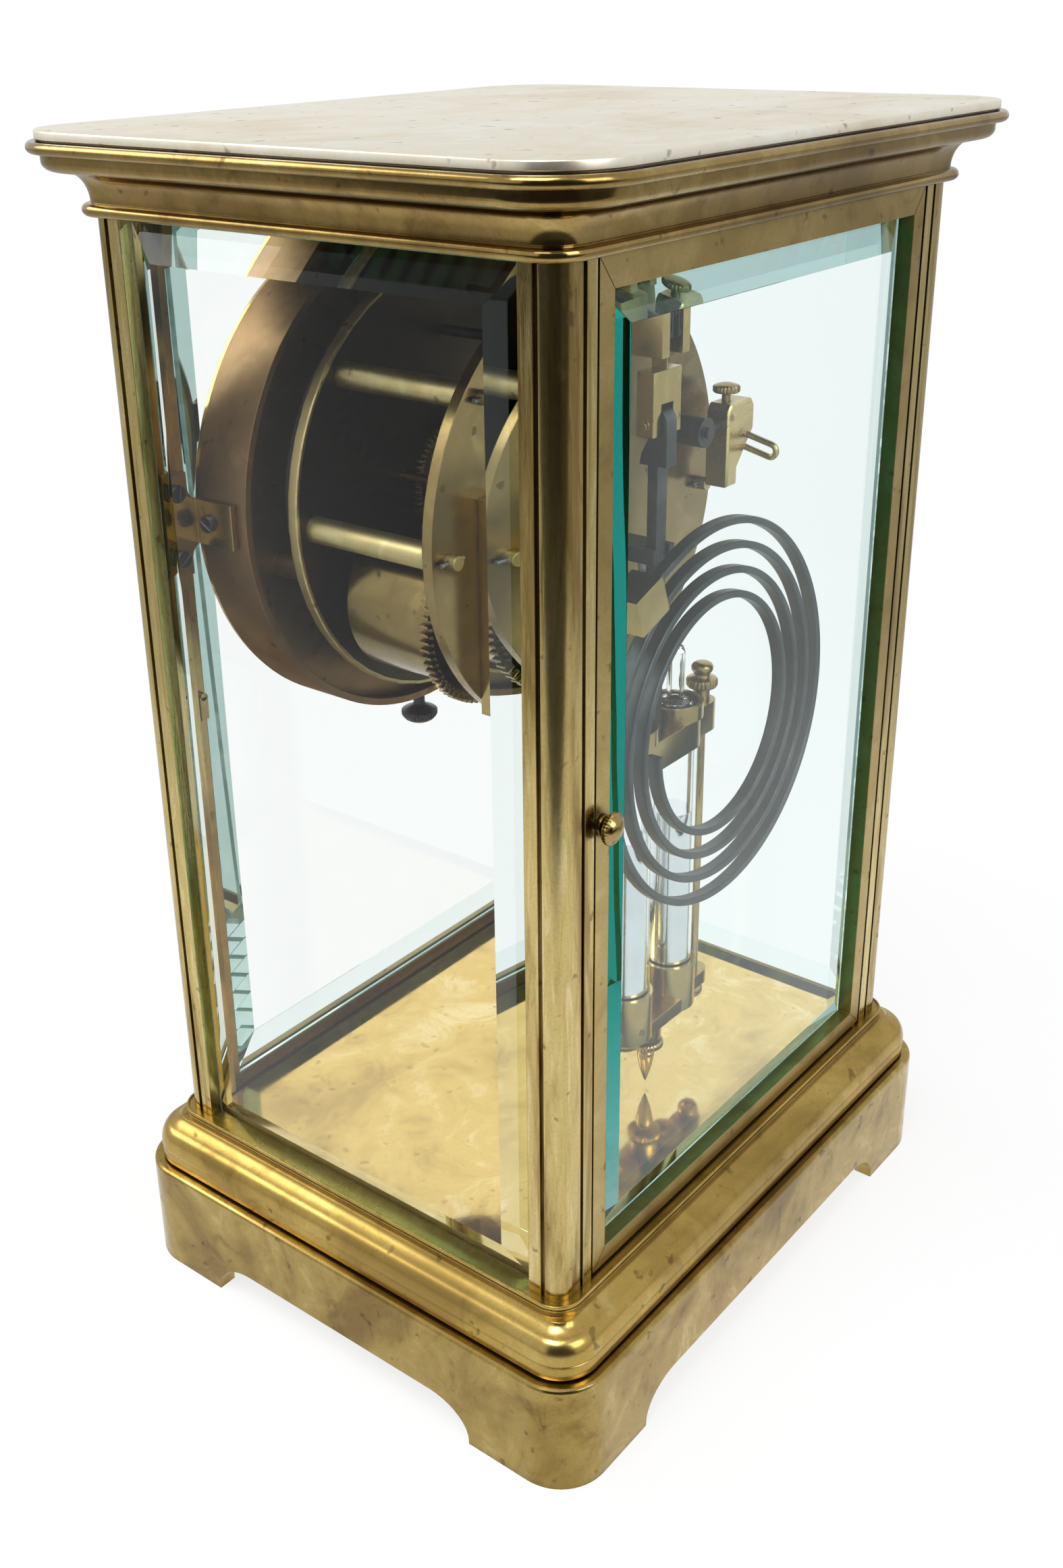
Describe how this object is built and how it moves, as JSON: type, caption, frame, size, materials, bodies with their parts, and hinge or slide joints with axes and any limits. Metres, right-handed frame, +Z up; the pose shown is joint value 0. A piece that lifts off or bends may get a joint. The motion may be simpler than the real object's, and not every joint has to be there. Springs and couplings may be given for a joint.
{
  "type": "crystal regulator clock",
  "caption": "Brass mantel clock with bevelled glass sides, opening front and rear doors, a round striking movement, a spiral gong and a mercury-jar pendulum.",
  "frame": {"origin": "on the table under the middle of the case", "axes": "+Z up, the dial faces -Y, the rear door faces +Y"},
  "size_m": [0.1644, 0.1374, 0.265],
  "materials": {
    "case_brass": "aged polished brass, golden with brown tarnish in the hollows",
    "floor_brass": "pale polished brass with mottled tarnish",
    "cornice_brass": "aged brass, browner than the base",
    "plate_glass": "clear bevelled plate glass with green edges",
    "jar_glass": "clear blown glass",
    "drum_brass": "coppery aged brass",
    "dial_enamel": "white enamel",
    "dial_ink": "black fired ink",
    "blued_steel": "dark blued steel",
    "movement_brass": "polished movement brass, slightly dulled",
    "bright_brass": "turned brass",
    "steel": "grey steel",
    "mercury": "liquid metal"
  },
  "bodies": {
    "case": {"base_plinth": "case_brass", "base_moulding": "case_brass", "floor_plate": "floor_brass", "column_front_right": "case_brass", "column_front_left": "case_brass", "column_rear_right": "case_brass", "column_rear_left": "case_brass", "column_screws": "steel", "cornice": "cornice_brass", "top_plate": "cornice_brass", "side_glass_right": "plate_glass", "side_glass_left": "plate_glass", "dial_drum": "drum_brass", "bezel": "drum_brass", "dial": "dial_enamel", "dial_markings": "dial_ink", "bracket_right": "drum_brass", "bracket_left": "drum_brass", "bracket_screws": "blued_steel", "drum_thumb_screw": "blued_steel", "front_plate": "movement_brass", "back_plate": "movement_brass", "pillars": "movement_brass", "taper_pins": "steel", "suspension_bracket": "movement_brass", "rate_adjuster": "blued_steel", "gong_stand": "movement_brass", "gong": "steel"},
    "rear_door": {"rear_door_frame": "case_brass", "rear_door_glass": "plate_glass"},
    "rear_knob": {"rear_door_knob": "case_brass"},
    "front_door": {"front_door_frame": "case_brass", "front_door_glass": "plate_glass"},
    "front_knob": {"front_door_knob": "case_brass"},
    "minute_arbor": {"minute_hand": "blued_steel", "centre_wheel": "movement_brass"},
    "hour_pipe": {"hour_hand": "blued_steel", "hour_wheel": "movement_brass"},
    "motion_wheel": {"minute_wheel": "movement_brass"},
    "second_arbor": {"second_wheel": "movement_brass"},
    "third_arbor": {"third_wheel": "movement_brass"},
    "escape_arbor": {"escape_wheel": "movement_brass"},
    "going_drive": {"going_barrel": "movement_brass", "going_mainspring": "steel"},
    "strike_drive": {"strike_barrel": "movement_brass", "strike_mainspring": "steel"},
    "going_winder": {"going_arbor": "steel"},
    "strike_winder": {"strike_arbor": "steel"},
    "pin_arbor": {"pin_wheel": "movement_brass"},
    "fly_arbor": {"strike_fly": "movement_brass"},
    "pendulum": {"suspension_spring": "bright_brass", "pendulum_rod": "steel", "pendulum_frame": "bright_brass", "pendulum_jars": "jar_glass", "pendulum_mercury": "mercury", "pendulum_nuts": "bright_brass"},
    "pallet_arbor": {"pallets": "steel"},
    "hammer": {"hammer_arbor": "steel", "hammer_head": "bright_brass", "hammer_screw": "bright_brass"}
  },
  "joints": [
    {"name": "rear_door_swing", "type": "hinge", "parent": "case", "child": "rear_door", "pos_m": [-0.0573, 0.0554, 0.147], "axis": [0, 0, 1], "range_deg": [0, 100]},
    {"name": "rear_catch", "type": "hinge", "parent": "rear_door", "child": "rear_knob", "pos_m": [0.0568, 0.0579, 0.1461], "axis": [0, -1, 0], "range_deg": [0, 90]},
    {"name": "front_door_swing", "type": "hinge", "parent": "case", "child": "front_door", "pos_m": [-0.0573, -0.0554, 0.147], "axis": [0, 0, -1], "range_deg": [0, 100]},
    {"name": "front_catch", "type": "hinge", "parent": "front_door", "child": "front_knob", "pos_m": [0.0568, -0.0579, 0.1461], "axis": [0, -1, 0], "range_deg": [0, 90]},
    {"name": "minute_turn", "type": "hinge", "parent": "case", "child": "minute_arbor", "pos_m": [0, 0, 0.1867], "axis": [0, 1, 0], "continuous": true},
    {"name": "hour_turn", "type": "hinge", "parent": "case", "child": "hour_pipe", "pos_m": [0, 0, 0.1867], "axis": [0, 1, 0], "continuous": true},
    {"name": "motion_turn", "type": "hinge", "parent": "case", "child": "motion_wheel", "pos_m": [0, 0, 0.1984], "axis": [0, 1, 0], "continuous": true},
    {"name": "second_turn", "type": "hinge", "parent": "case", "child": "second_arbor", "pos_m": [0.01533, 0, 0.19054], "axis": [0, 1, 0], "continuous": true},
    {"name": "third_turn", "type": "hinge", "parent": "case", "child": "third_arbor", "pos_m": [-0.01068, 0, 0.19928], "axis": [0, 1, 0], "continuous": true},
    {"name": "escape_turn", "type": "hinge", "parent": "case", "child": "escape_arbor", "pos_m": [0, 0, 0.2072], "axis": [0, 1, 0], "continuous": true},
    {"name": "going_barrel_turn", "type": "hinge", "parent": "case", "child": "going_drive", "pos_m": [0.022, 0, 0.1677], "axis": [0, 1, 0], "continuous": true},
    {"name": "strike_barrel_turn", "type": "hinge", "parent": "case", "child": "strike_drive", "pos_m": [-0.022, 0, 0.1677], "axis": [0, 1, 0], "continuous": true},
    {"name": "going_winding", "type": "hinge", "parent": "case", "child": "going_winder", "pos_m": [0.022, 0, 0.1677], "axis": [0, 1, 0], "continuous": true},
    {"name": "strike_winding", "type": "hinge", "parent": "case", "child": "strike_winder", "pos_m": [-0.022, 0, 0.1677], "axis": [0, 1, 0], "continuous": true},
    {"name": "pin_turn", "type": "hinge", "parent": "case", "child": "pin_arbor", "pos_m": [-0.02407, 0, 0.19141], "axis": [0, 1, 0], "continuous": true},
    {"name": "fly_turn", "type": "hinge", "parent": "case", "child": "fly_arbor", "pos_m": [-0.02407, 0, 0.20211], "axis": [0, 1, 0], "continuous": true},
    {"name": "pendulum_swing", "type": "hinge", "parent": "case", "child": "pendulum", "pos_m": [0, 0.0275, 0.2197], "axis": [0, 1, 0], "range_deg": [-3, 3]},
    {"name": "pallet_rock", "type": "hinge", "parent": "case", "child": "pallet_arbor", "pos_m": [0, 0, 0.2197], "axis": [0, 1, 0], "range_deg": [-3, 3]},
    {"name": "hammer_lift", "type": "hinge", "parent": "case", "child": "hammer", "pos_m": [-0.033, 0, 0.1962], "axis": [0, 1, 0], "range_deg": [0, 12]}
  ],
  "couplings": [
    {"joint": "hour_turn", "follows": "minute_turn", "ratio": 0.083333},
    {"joint": "motion_turn", "follows": "minute_turn", "ratio": -0.33333},
    {"joint": "second_turn", "follows": "minute_turn", "ratio": -0.13333},
    {"joint": "going_barrel_turn", "follows": "minute_turn", "ratio": 0.018519},
    {"joint": "third_turn", "follows": "minute_turn", "ratio": -8},
    {"joint": "escape_turn", "follows": "minute_turn", "ratio": 54},
    {"joint": "pin_turn", "follows": "strike_barrel_turn", "ratio": -7.2},
    {"joint": "fly_turn", "follows": "strike_barrel_turn", "ratio": 36},
    {"joint": "pallet_rock", "follows": "pendulum_swing", "ratio": 1}
  ]
}
